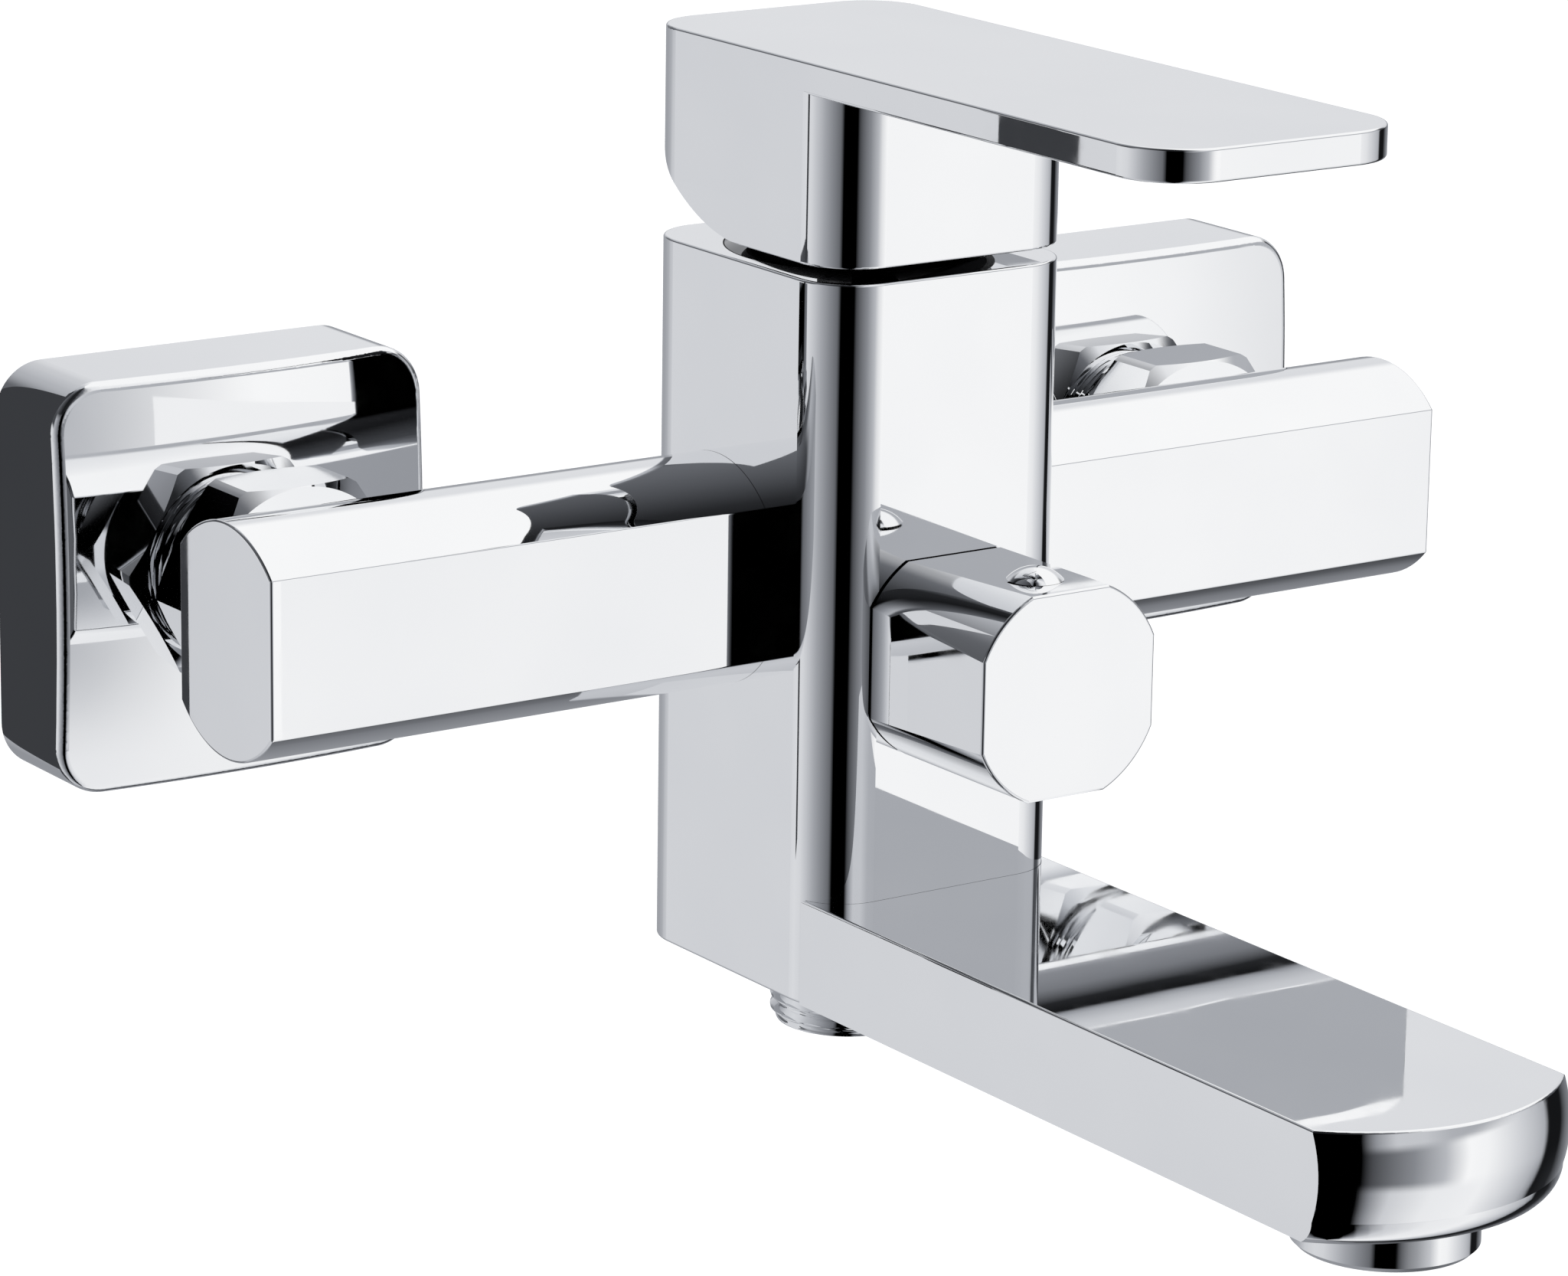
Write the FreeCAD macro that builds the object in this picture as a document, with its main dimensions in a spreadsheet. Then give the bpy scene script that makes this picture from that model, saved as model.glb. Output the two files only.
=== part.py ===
import FreeCAD, Part
import os
import re

import Sketcher

# Wall mounted bath faucet. Millimetres, +X to the right facing the wall, +Y into the wall, +Z up.
# The origin is on the wall surface, midway between the two inlets. "Depth" is measured from the
# column's axis and grows towards the wall, so it is negative towards the user.

DIMENSIONS = {
    # shared
    "overcut": 1,
    "edge_round": 0.4,
    "seat_gap": 0.05,
    "running_gap": 0.05,
    "bore_gap": 0.1,
    # column and arms
    "inlet_spacing": 150,
    "standoff": 52,
    "column_width": 40,
    "column_depth": 46,
    "column_corner": 8,
    "column_top": 42.9,
    "column_foot": -56,
    "arm_radius": 15.8,
    "arm_flat": 11.8,
    "arm_tip": 95.5,
    "arm_setback": 48,
    "arm_bore": 6,
    # water ways inside the column
    "port_radius": 3.2,
    "port_offset": 9.5,
    "outlet_port_radius": 4,
    "outlet_port_depth": -8,
    "diverter_chamber_end": -2,
    "inlet_way_radius": 4.4,
    "inlet_way_reach": 0.6,
    "shower_way_radius": 6,
    "shower_way_start": -0.5,
    "shower_way_length": 44,
    "spout_drop_radius": 3.6,
    "spout_drop_depth": -15.5,
    "spout_drop_length": 34,
    "spout_way_radius": 4.5,
    "spout_way_length": 13.5,
    "outlet_socket_length": 11,
    # wall unions
    "spigot_radius": 11,
    "spigot_root": 8.5,
    "spigot_bore": 6.5,
    "spigot_end": -29,
    "snap_groove": 10.2,
    "snap_radius": 12.6,
    "snap_width": 1.2,
    "snap_setback": 0.3,
    "nut_across_flats": 29.4,
    "nut_corner_radius": 16.6,
    "nut_chamfer": 2,
    "nut_chamfer_height": 1.2,
    "nut_front": -32.6,
    "nut_length": 10.8,
    "nut_shoulder": 2,
    "union_radius": 13.22,
    "gasket_radius": 12.2,
    "gasket_width": 2,
    "gasket_gap": 0.02,
    "wall_thread_radius": 10.48,
    "wall_thread_depth": 18,
    "wall_thread_start": -2,
    "union_offset": 7.5,
    "union_end": -6,
    "web_start": -6.5,
    "web_length": 5.5,
    "web_step": 0.4,
    "boss_radius": 11.98,
    "connector_bore": 7,
    "front_bore_end": -3,
    "back_bore_start": -5.5,
    # wall flanges
    "flange_size": 56,
    "flange_depth": 19.1,
    "flange_corner": 6.8,
    "flange_round": 1.4,
    "flange_crown_radius": 260,
    "flange_skin": 3.8,
    "flange_wall": 2.6,
    "flange_clear": 0.4,
    # spout and aerator
    "spout_top": -41.4,
    "spout_back": 17.6,
    "spout_arc_centre": 105.5,
    "spout_arc_radius": 28.5,
    "spout_bulge_radius": 29.6,
    "spout_bulge_drop": 5.6,
    "spout_heel_radius": 28.9,
    "spout_heel_rise": 3,
    "spout_lip_radius": 27.6,
    "spout_curl_radius": 28.6,
    "spout_curl_rise": 1.4,
    "spout_channel": 5,
    "spout_roof": 4,
    "aerator_reach": 116.5,
    "aerator_thread": 11,
    "aerator_collar": 11.9,
    "aerator_chamfer": 0.7,
    "aerator_foot": -62.3,
    "aerator_bore": 9.5,
    "aerator_lip": 0.8,
    "aerator_lip_height": 1.2,
    "aerator_gasket_height": 2,
    "aerator_gasket_width": 3.5,
    "jet_radius": 1.05,
    "inner_jet_circle": 3.1,
    "outer_jet_circle": 6.2,
    # shower outlet
    "outlet_foot": -65.9,
    "outlet_chamfer": 0.9,
    "outlet_root": 9.5,
    "outlet_bore": 7,
    "outlet_depth": 8.5,
    "outlet_seal_height": 1.4,
    # lever
    "lever_width": 39.8,
    "lever_top": 71.6,
    "lever_plate": 4.3,
    "lever_reach": 90.8,
    "lever_corner": 9,
    "lever_foot": 44.8,
    "lever_overlap": 0.5,
    "relief_radius": 28,
    "relief_depth": -2,
    "pocket_radius": 17.2,
    "pocket_top": 51.5,
    "stem_fit": 8.06,
    "stem_headroom": 0.3,
    "lever_screw_level": 63.5,
    "screw_radius": 2,
    "screw_gap": 0.02,
    "key_radius": 1,
    "key_depth": 2.5,
    "lever_screw_length": 8,
    "plug_radius": 3.5,
    "plug_depth": 3,
    "plug_gap": 0.03,
    # cartridge
    "cartridge_radius": 17.5,
    "cartridge_bore": 15.5,
    "cartridge_floor": 10,
    "cartridge_shoulder": 33.5,
    "cartridge_neck": 12.5,
    "cartridge_ceiling": 31.3,
    "well_thread": 18.2,
    "seal_width": 1.3,
    "seal_height": 0.95,
    "base_height": 4,
    "base_radius": 15.4,
    "fixed_disc_height": 3,
    "fixed_disc_radius": 15.3,
    "disc_radius": 10.5,
    "moving_disc_height": 3.2,
    "mixing_chamber_radius": 5.8,
    "mixing_chamber_depth": -2,
    "mixing_chamber_height": 1.5,
    "coupler_height": 6.7,
    "ball_seat_gap": 0.22,
    "nut_height": 5.95,
    "nut_slot_width": 3,
    "nut_slot_depth": 1.5,
    "cover_radius": 18.1,
    "cover_skirt": 16.8,
    "cover_swell": 13.6,
    "cover_swell_rise": 2,
    "cover_opening": 9,
    "cover_top": 46.3,
    "cover_wall": 1.1,
    "pivot_level": 38,
    "pin_radius": 1.5,
    "pin_gap": 0.01,
    "pin_setback": 0.6,
    "stem_side": 8,
    "stem_top": 66,
    "stem_root": 4,
    "stem_neck": 2.2,
    "stem_neck_gap": 3,
    "stem_ball": 3,
    "stem_arm": 12,
    "carrier_radius": 9.5,
    "carrier_fit": 9.58,
    "carrier_flange": 13,
    "carrier_foot": 28.6,
    "carrier_step": 31.2,
    "carrier_rise": 0.5,
    "carrier_slot_side": 8.6,
    "carrier_slot_length": 14.4,
    # diverter
    "knob_level": -8.2,
    "knob_radius": 15.2,
    "knob_flat_front": 13.9,
    "knob_flat_back": 13.2,
    "knob_front": 49.2,
    "knob_gap": 0.35,
    "knob_recess": 11,
    "knob_recess_depth": 8,
    "knob_face": 4,
    "knob_socket_length": 29.2,
    "spindle_radius": 4,
    "spindle_fit": 4.06,
    "spindle_collar": 6,
    "spindle_setback": 0.5,
    "knob_screw_length": 5.5,
    "headwork_radius": 9.5,
    "headwork_neck": 6.5,
    "headwork_nose": 5,
    "headwork_cavity": 8.3,
    "headwork_end": -5.2,
    "cavity_end": -14.2,
    "collar_start": -14,
    "collar_end": -12,
    "rotor_disc_start": -11.95,
    "rotor_disc_end": -9,
    "fixed_disc_start": -8.95,
    "fixed_disc_end": -6.3,
    "disc_hole_radius": 2.4,
    "disc_hole_rise": 4.6,
    "diverter_seal_end": -4.7,
    "diverter_seal_width": 2.1,
    "pip_reach": 41.2,
    "pip_radius": 3.8,
    "pip_height": 1.7,
    "pip_lift": 0.12,
    "pip_foot_radius": 2.48,
    "pip_seat_depth": 2.5,
}

X_AXIS = FreeCAD.Vector(1, 0, 0)
Y_AXIS = FreeCAD.Vector(0, 1, 0)
Z_AXIS = FreeCAD.Vector(0, 0, 1)

doc = FreeCAD.newDocument("bath_faucet")
sheet = doc.addObject("Spreadsheet::Sheet", "dims")
for row, (alias, value) in enumerate(DIMENSIONS.items(), start=1):
    sheet.set(f"A{row}", alias)
    sheet.set(f"B{row}", str(value))
    sheet.setAlias(f"B{row}", alias)
doc.recompute()

parts = []


# Binding and placing


def formula(text):
    """Turn a formula in plain dimension names into a FreeCAD expression on the sheet."""

    def on_sheet(word):
        return f"dims.{word.group()}" if word.group() in DIMENSIONS else word.group()

    return re.sub(r"[a-z][a-z_]+", on_sheet, str(text))


def value_of(text):
    """The number that a formula gives with the sheet's present dimensions."""
    return float(sheet.evalExpression(formula(text)))


def bind(thing, prop, text):
    thing.setExpression(prop, formula(text))


def place(thing, at, axis=Z_AXIS):
    """Stand a thing at a bound position, with its own Z axis turned to the given one."""
    thing.Placement = FreeCAD.Placement(FreeCAD.Vector(), FreeCAD.Rotation(Z_AXIS, axis))
    for letter, text in zip("xyz", at):
        bind(thing, f"Placement.Base.{letter}", text)
    return thing


def on_axis(level=0, depth=0, side=0):
    """A point by its height, its depth from the column's axis and its distance to the right."""
    return (side, f"-standoff + ({depth})", level)


def keep(thing, label):
    """Name a finished sub-part."""
    thing.Label = label
    parts.append(thing)
    return thing


# Simple solids and booleans


def rod(name, radius, length, at, axis=Z_AXIS):
    """A cylinder that starts at a point and runs along an axis."""
    cylinder = doc.addObject("Part::Cylinder", name)
    bind(cylinder, "Radius", radius)
    bind(cylinder, "Height", length)
    return place(cylinder, at, axis)


def block(name, low, size):
    """A box from its lowest corner and its three sizes."""
    box = doc.addObject("Part::Box", name)
    for prop, text in zip(("Length", "Width", "Height"), size):
        bind(box, prop, text)
    return place(box, low)


def ball(name, radius, at):
    sphere = doc.addObject("Part::Sphere", name)
    bind(sphere, "Radius", radius)
    return place(sphere, at)


def fuse(name, *shapes):
    union = doc.addObject("Part::MultiFuse", name)
    union.Shapes = list(shapes)
    return union


def cut(name, base, *tools):
    result = doc.addObject("Part::Cut", name)
    result.Base = base
    result.Tool = tools[0] if len(tools) == 1 else fuse(f"{name}_tools", *tools)
    return result


def common(name, first, second):
    result = doc.addObject("Part::Common", name)
    result.Base = first
    result.Tool = second
    return result


# Sketched solids


def outline(body, name, role, points):
    """A closed sketch through (x, y) corners. A point (x, y, "arc") is the middle of an arc."""
    sketch = body.newObject("Sketcher::SketchObject", name)
    plane = [item for item in body.Origin.OriginFeatures if item.Role == role][0]
    sketch.AttachmentSupport = (plane, [""])
    sketch.MapMode = "FlatFace"
    values = [FreeCAD.Vector(value_of(point[0]), value_of(point[1]), 0) for point in points]
    corners = [index for index, point in enumerate(points) if len(point) == 2]
    for position, start in enumerate(corners):
        stop = corners[(position + 1) % len(corners)]
        if (stop - start) % len(points) == 1:
            sketch.addGeometry(Part.LineSegment(values[start], values[stop]), False)
        else:
            sketch.addGeometry(Part.Arc(values[start], values[start + 1], values[stop]), False)
    ends = [arc_ends(edge, values[start]) for edge, start in zip(sketch.Geometry, corners)]
    for position, (_, finish) in enumerate(ends):
        following = (position + 1) % len(ends)
        joint = Sketcher.Constraint("Coincident", position, finish, following, ends[following][0])
        sketch.addConstraint(joint)
    for position, index in enumerate(corners):
        pin_point(sketch, (position, ends[position][0]), values[index], points[index])
        if index + 1 < len(points) and len(points[index + 1]) == 3:
            middle = sketch.addGeometry(Part.Point(values[index + 1]), True)
            sketch.addConstraint(Sketcher.Constraint("PointOnObject", middle, 1, position))
            pin_point(sketch, (middle, 1), values[index + 1], points[index + 1])
    return sketch


def arc_ends(edge, start):
    """The sketcher's numbers for an edge's two ends, in drawing order."""
    return (1, 2) if edge.StartPoint.isEqual(start, 1e-6) else (2, 1)


def pin_point(sketch, vertex, value, point):
    """Tie a sketch vertex to the origin with two bound distances."""
    for kind, number, text in (("DistanceX", value.x, point[0]), ("DistanceY", value.y, point[1])):
        index = sketch.addConstraint(Sketcher.Constraint(kind, -1, 1, *vertex, number))
        bind(sketch, f"Constraints[{index}]", text)


def prism(name, role, points, start, stop, at=on_axis()):
    """Pad an outline between two levels along its plane's normal."""
    body = doc.addObject("PartDesign::Body", name)
    sketch = outline(body, f"{name}_outline", role, points)
    bind(sketch, "AttachmentOffset.Base.z", start)
    pad = body.newObject("PartDesign::Pad", f"{name}_pad")
    pad.Profile = sketch
    bind(pad, "Length", f"({stop}) - ({start})")
    return place(body, at)


def turned(name, profile, at=on_axis(), axis=Z_AXIS):
    """Revolve a (radius, level) profile about the body's own Z axis."""
    body = doc.addObject("PartDesign::Body", name)
    sketch = outline(body, f"{name}_profile", "XZ_Plane", profile)
    spin = body.newObject("PartDesign::Revolution", f"{name}_spin")
    spin.Profile = sketch
    spin.ReferenceAxis = (sketch, ["V_Axis"])
    spin.Angle = 360
    return place(body, at, axis)


def ring(name, inner, outer, start, stop, at=on_axis(), axis=Z_AXIS):
    return turned(name, [(inner, start), (outer, start), (outer, stop), (inner, stop)], at, axis)


def rectangle(half_width, low, high):
    return [(f"-({half_width})", low), (half_width, low), (half_width, high), (f"-({half_width})", high)]


# Rounded edges


def round_edges(body, name, radius, wanted):
    """Fillet the edges of a body's tip that pass a test."""
    doc.recompute()
    base = body.Tip
    names = [f"Edge{i}" for i, edge in enumerate(base.Shape.Edges, start=1) if wanted(edge)]
    fillet = body.newObject("PartDesign::Fillet", name)
    fillet.Base = (base, names)
    bind(fillet, "Radius", radius)
    return body


def eased(name, base, radius, wanted):
    """Fillet the edges of a boolean result that pass a test."""
    doc.recompute()
    size = value_of(radius)
    rounded = doc.addObject("Part::Fillet", name)
    rounded.Base = base
    rounded.Edges = [(i, size, size) for i, edge in enumerate(base.Shape.Edges, start=1) if wanted(edge)]
    return rounded


def runs_along(axis):
    """A test for straight edges along one axis."""

    def test(edge):
        ends = [vertex.Point for vertex in edge.Vertexes]
        return len(ends) == 2 and abs((ends[1] - ends[0]).normalize().dot(axis)) > 0.999

    return test


def at_level(axis, level):
    """A test for edges that lie wholly at one level along an axis."""

    def test(edge):
        box = edge.BoundBox
        low, high = getattr(box, f"{axis}Min"), getattr(box, f"{axis}Max")
        return abs(low - level) < 1e-3 and abs(high - level) < 1e-3

    return test


def column_prism(name, grow, bottom, top):
    """The column's rounded rectangle between two levels, grown on every side."""
    half_depth = f"column_depth / 2 + {grow}"
    corners = rectangle(f"column_width / 2 + {grow}", f"-({half_depth})", half_depth)
    body = prism(name, "XY_Plane", corners, bottom, top)
    return round_edges(body, f"{name}_corners", f"column_corner + {grow}", runs_along(Z_AXIS))


# The column, spout and arms


def make_body():
    """The column, with its cartridge well, diverter chamber and water ways."""
    blank = column_prism("column_blank", "0", "column_foot", "column_top")
    for level in ("column_top", "column_foot"):
        round_edges(blank, f"{level}_round", "edge_round", at_level("Z", value_of(level)))
    face = "-column_depth / 2 - overcut"
    spout_level = "(column_foot + spout_top) / 2"
    tools = [
        rod("cartridge_well", "cartridge_radius + bore_gap", "column_top - cartridge_floor + overcut",
            on_axis("cartridge_floor")),
        rod("nut_thread_well", "well_thread", "column_top - cartridge_shoulder + overcut",
            on_axis("cartridge_shoulder")),
        rod("diverter_chamber", "headwork_radius + bore_gap", f"diverter_chamber_end - ({face})",
            on_axis("knob_level", face), Y_AXIS),
        rod("outlet_port", "outlet_port_radius", "cartridge_floor - knob_level + overcut",
            on_axis("knob_level", "outlet_port_depth")),
        rod("shower_way", "shower_way_radius", "shower_way_length",
            on_axis("column_foot + shower_way_start")),
        rod("outlet_socket", "outlet_root", "outlet_socket_length", on_axis("column_foot - overcut")),
        rod("spout_drop", "spout_drop_radius", "spout_drop_length",
            on_axis(spout_level, "spout_drop_depth")),
        rod("spout_way", "spout_way_radius", "spout_way_length", on_axis(spout_level, face), Y_AXIS),
    ]
    inner = "port_offset - port_radius - inlet_way_reach"
    outer = "column_width / 2 + overcut"
    for side, sign, start in (("left", "-", f"-({outer})"), ("right", "", inner)):
        tools.append(rod(f"inlet_way_{side}", "inlet_way_radius", f"{outer} - ({inner})",
                         (start, "-arm_setback", 0), X_AXIS))
        tools.append(rod(f"inlet_port_{side}", "port_radius", "cartridge_floor + overcut",
                         (f"{sign}port_offset", "-arm_setback", 0)))
    keep(cut("body", blank, *tools), "body")


def make_spout():
    """The flat spout: straight sides, a shallow arc at the end that swells below its top edge."""
    front = "-(spout_arc_centre + spout_bulge_radius + overcut)"
    plan_corners = rectangle("column_width / 2", front, "-spout_back")
    plan = prism("spout_plan", "XY_Plane", plan_corners, "column_foot", "spout_top")
    nose = turned("spout_nose", [
        (0, "column_foot"),
        ("spout_lip_radius", "column_foot"),
        ("spout_curl_radius", "column_foot + spout_curl_rise", "arc"),
        ("spout_heel_radius", "column_foot + spout_heel_rise"),
        ("spout_bulge_radius", "spout_top - spout_bulge_drop", "arc"),
        ("spout_arc_radius", "spout_top"),
        (0, "spout_top"),
    ], on_axis(0, "-spout_arc_centre"))
    height = "spout_top - column_foot"
    trunk = block("spout_trunk", on_axis("column_foot - overcut", "-spout_arc_centre", "-column_width"),
                  ("2 * column_width", "spout_arc_centre", f"{height} + 2 * overcut"))
    blank = common("spout_shape", plan, fuse("spout_envelope", nose, trunk))
    blank = eased("spout_rim", blank, "edge_round", at_level("Z", value_of("spout_top")))
    seat = column_prism("spout_seat", "seat_gap", "column_foot - overcut", "spout_top + overcut")
    channel = rod("spout_channel", "spout_channel", "aerator_reach - column_depth / 2 + overcut",
                  on_axis("(column_foot + spout_top) / 2", "-aerator_reach"), Y_AXIS)
    socket = rod("aerator_socket", "aerator_thread + seat_gap", f"{height} - spout_roof + overcut",
                 on_axis("column_foot - overcut", "-aerator_reach"))
    keep(cut("spout", blank, seat, channel, socket), "spout")


def make_arm(side, sign):
    """One arm: a round bar with two flats and eased edges, bored from the column to its inlet."""
    flat_half = "sqrt(arm_radius ^ 2 - arm_flat ^ 2)"
    root = "column_width / 2 + seat_gap"
    start, stop = ("-arm_tip", f"-({root})") if sign < 0 else (root, "arm_tip")
    blank = prism(f"arm_bar_{side}", "YZ_Plane", [
        ("-arm_flat", f"-({flat_half})"),
        (0, "-arm_radius", "arc"),
        ("arm_flat", f"-({flat_half})"),
        ("arm_flat", flat_half),
        (0, "arm_radius", "arc"),
        ("-arm_flat", flat_half),
    ], start, stop, (0, "-arm_setback", 0))
    round_edges(blank, f"arm_creases_{side}", "edge_round", runs_along(X_AXIS))
    round_edges(blank, f"arm_end_{side}", "edge_round", at_level("X", sign * DIMENSIONS["arm_tip"]))
    bore_start = "-inlet_spacing / 2 - arm_bore" if sign < 0 else "column_width / 2 - overcut"
    bore_length = "inlet_spacing / 2 + arm_bore - column_width / 2 + overcut"
    bore = rod(f"arm_bore_{side}", "arm_bore", bore_length, (bore_start, "-arm_setback", 0), X_AXIS)
    inlet_at = (f"{sign} * inlet_spacing / 2", "-arm_setback", 0)
    socket = rod(f"spigot_socket_{side}", "spigot_root + seat_gap", "arm_flat + overcut", inlet_at, Y_AXIS)
    keep(cut(f"arm_{side}", blank, bore, socket), f"arm_{side}")


# What joins an arm to the wall


def make_inlet(side, sign):
    """Everything behind one arm: spigot, snap ring, union nut, gasket, connector and flange."""
    at = (f"{sign} * inlet_spacing / 2", 0, 0)
    socket_floor = "-arm_setback + arm_bore"
    arm_back = "-arm_setback + arm_flat + seat_gap"
    groove_top = "spigot_end - snap_setback"
    groove_foot = f"{groove_top} - snap_width"
    keep(turned(f"inlet_spigot_{side}", [
        ("spigot_bore", socket_floor),
        ("spigot_root", socket_floor),
        ("spigot_root", arm_back),
        ("spigot_radius", arm_back),
        ("spigot_radius", groove_foot),
        ("snap_groove", groove_foot),
        ("snap_groove", groove_top),
        ("spigot_radius", groove_top),
        ("spigot_radius", "spigot_end"),
        ("spigot_bore", "spigot_end"),
    ], at, Y_AXIS), f"inlet_spigot_{side}")
    snap_ring = ring(f"nut_snap_ring_{side}", "snap_groove + seat_gap", "snap_radius",
                     f"{groove_foot} + seat_gap", f"{groove_top} - seat_gap", at, Y_AXIS)
    keep(snap_ring, f"nut_snap_ring_{side}")
    gasket = ring(f"union_gasket_{side}", "connector_bore", "gasket_radius",
                  "spigot_end + gasket_gap", "spigot_end + gasket_width - gasket_gap", at, Y_AXIS)
    keep(gasket, f"union_gasket_{side}")
    make_union_nut(f"union_nut_{side}", at)
    make_connector(f"eccentric_connector_{side}", at)
    make_flange(f"wall_flange_{side}", at)


def make_union_nut(name, at):
    """A hexagon nut, flats at top and bottom, chamfered at both ends, with a shoulder at the arm side."""
    half = "nut_across_flats / 2"
    near = "nut_across_flats / sqrt(12)"
    far = "nut_across_flats / sqrt(3)"
    back = "nut_front + nut_length"
    hexagon = prism(f"{name}_hexagon", "XZ_Plane", [
        (near, half),
        (f"-({near})", half),
        (f"-({far})", 0),
        (f"-({near})", f"-({half})"),
        (near, f"-({half})"),
        (far, 0),
    ], f"-({back})", "-nut_front", at)
    envelope = turned(f"{name}_envelope", [
        (0, "nut_front"),
        ("nut_corner_radius - nut_chamfer", "nut_front"),
        ("nut_corner_radius", "nut_front + nut_chamfer_height"),
        ("nut_corner_radius", f"{back} - nut_chamfer_height"),
        ("nut_corner_radius - nut_chamfer", back),
        (0, back),
    ], at, Y_AXIS)
    bore = turned(f"{name}_bore", [
        (0, "nut_front - overcut"),
        ("spigot_radius + bore_gap", "nut_front - overcut"),
        ("spigot_radius + bore_gap", "nut_front + nut_shoulder"),
        ("union_radius + running_gap", "nut_front + nut_shoulder"),
        ("union_radius + running_gap", f"{back} + overcut"),
        (0, f"{back} + overcut"),
    ], at, Y_AXIS)
    keep(cut(name, common(f"{name}_blank", hexagon, envelope), bore), name)


def make_connector(name, at):
    """The eccentric connector: union thread in front, wall thread set higher behind."""
    front = "spigot_end + gasket_width"
    side = at[0]
    solid = fuse(
        f"{name}_solid",
        rod(f"{name}_union", "union_radius", f"union_end - ({front})", (side, front, 0), Y_AXIS),
        rod(f"{name}_web", "union_radius - web_step", "web_length", (side, "web_start", 0), Y_AXIS),
        rod(f"{name}_boss", "boss_radius", "web_length", (side, "web_start", "union_offset"), Y_AXIS),
        rod(f"{name}_wall", "wall_thread_radius", "wall_thread_depth - wall_thread_start",
            (side, "wall_thread_start", "union_offset"), Y_AXIS),
    )
    front_bore = rod(f"{name}_front_bore", "connector_bore", f"front_bore_end - ({front}) + overcut",
                     (side, f"{front} - overcut", 0), Y_AXIS)
    back_bore = rod(f"{name}_back_bore", "connector_bore", "wall_thread_depth - back_bore_start + overcut",
                    (side, "back_bore_start", "union_offset"), Y_AXIS)
    keep(cut(name, solid, front_bore, back_bore), name)


def make_flange(name, at):
    """The square rosette: a hollow rounded box with a crowned face, open at the wall."""
    half = "flange_size / 2"
    shell = prism(f"{name}_shell", "XZ_Plane", rectangle(half, f"-{half}", half), 0, "flange_depth", at)
    round_edges(shell, f"{name}_corners", "flange_corner", runs_along(Y_AXIS))
    crown_ball = ball(f"{name}_crown_ball", "flange_crown_radius",
                      (at[0], "flange_crown_radius - flange_depth", 0))
    crown = common(f"{name}_crown", shell, crown_ball)
    rim_level = -value_of("flange_depth") / 2
    rounded = eased(f"{name}_rim", crown, "flange_round", lambda edge: edge.BoundBox.YMax < rim_level)
    inner = f"{half} - flange_wall"
    hollow = prism(f"{name}_hollow", "XZ_Plane", rectangle(inner, f"-({inner})", inner),
                   "-overcut", "flange_depth - flange_skin", at)
    round_edges(hollow, f"{name}_hollow_corners", "flange_corner - flange_wall", runs_along(Y_AXIS))
    hole = rod(f"{name}_hole", "union_radius + flange_clear", "flange_depth + overcut",
               (at[0], "-flange_depth - overcut", 0), Y_AXIS)
    keep(cut(name, rounded, hollow, hole), name)


# The two outlets


def make_shower_outlet():
    """The threaded shower outlet under the column, and its seal."""
    root_top = "column_foot + outlet_depth"
    keep(turned("shower_outlet", [
        ("outlet_bore", "outlet_foot"),
        ("wall_thread_radius - outlet_chamfer", "outlet_foot"),
        ("wall_thread_radius", "outlet_foot + outlet_chamfer"),
        ("wall_thread_radius", "column_foot - seat_gap"),
        ("outlet_root", "column_foot - seat_gap"),
        ("outlet_root", root_top),
        ("outlet_bore", root_top),
    ]), "shower_outlet")
    seal_foot = f"{root_top} + seat_gap"
    keep(ring("outlet_seal", "outlet_bore", "outlet_root", seal_foot, f"{seal_foot} + outlet_seal_height"),
         "outlet_seal")


def make_aerator():
    """The aerator under the spout's end: housing, gasket and the insert with its jets."""
    at = on_axis(0, "-aerator_reach")
    socket_top = "spout_top - spout_roof"
    housing_top = f"{socket_top} - aerator_gasket_height"
    lip_radius = "aerator_bore - aerator_lip"
    lip_top = "aerator_foot + aerator_lip_height"
    keep(turned("aerator_housing", [
        (lip_radius, "aerator_foot"),
        ("aerator_collar - aerator_chamfer", "aerator_foot"),
        ("aerator_collar", "aerator_foot + aerator_chamfer"),
        ("aerator_collar", "column_foot - seat_gap"),
        ("aerator_thread", "column_foot - seat_gap"),
        ("aerator_thread", housing_top),
        ("aerator_bore", housing_top),
        ("aerator_bore", lip_top),
        (lip_radius, lip_top),
    ], at), "aerator_housing")
    keep(ring("aerator_gasket", "aerator_thread - aerator_gasket_width", "aerator_thread",
              f"{housing_top} + seat_gap", f"{socket_top} - seat_gap", at), "aerator_gasket")
    core_foot = f"{lip_top} + seat_gap"
    core = rod("aerator_core", "aerator_bore - seat_gap", f"{housing_top} - seat_gap - ({core_foot})",
               on_axis(core_foot, "-aerator_reach"))
    jets = []
    for circle, count in (("0", 1), ("inner_jet_circle", 6), ("outer_jet_circle", 12)):
        for index in range(count):
            turn = f"{index} * 360 deg / {count}"
            spot = on_axis("aerator_foot", f"{circle} * sin({turn}) - aerator_reach",
                           f"{circle} * cos({turn})")
            jets.append(rod(f"jet_{len(jets)}", "jet_radius", "spout_top - aerator_foot", spot))
    keep(cut("aerator_insert", core, *jets), "aerator_insert")


# The lever


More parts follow.
